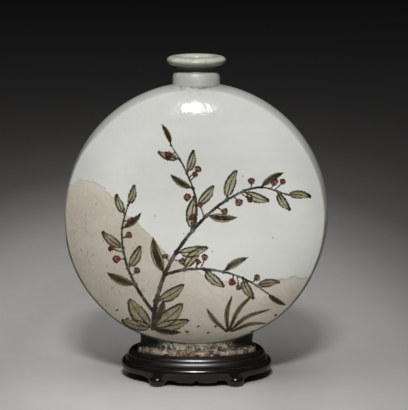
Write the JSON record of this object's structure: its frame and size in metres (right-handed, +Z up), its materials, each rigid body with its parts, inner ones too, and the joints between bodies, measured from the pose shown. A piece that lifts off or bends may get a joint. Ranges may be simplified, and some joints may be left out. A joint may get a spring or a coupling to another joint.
{
  "type": "wine flask",
  "caption": "Flattened round stoneware wine flask with a collared neck, rolled lip and oval foot, standing in a low carved oval hardwood stand.",
  "frame": {"origin": "on the table, under the middle of the stand", "axes": "+Z up, the front face towards -Y, +X to the right seen from the front"},
  "size_m": [0.21, 0.0774, 0.2594],
  "materials": {
    "white_glaze": "glossy",
    "bare_foot_clay": "matt",
    "dark_hardwood": "polished"
  },
  "bodies": {
    "stand": {"gallery_rim": "dark_hardwood", "seat_board": "dark_hardwood", "apron": "dark_hardwood", "foot_front_left": "dark_hardwood", "foot_front_right": "dark_hardwood", "foot_back_left": "dark_hardwood", "foot_back_right": "dark_hardwood"},
    "flask": {"front_shell": "white_glaze", "back_shell": "white_glaze", "neck_collar": "white_glaze", "mouth_lip": "white_glaze", "foot_ring": "bare_foot_clay"}
  },
  "joints": [
    {"name": "flask_lift", "type": "slide", "parent": "stand", "child": "flask", "axis": [0, 0, 1], "range_m": [0, 0.04]}
  ]
}
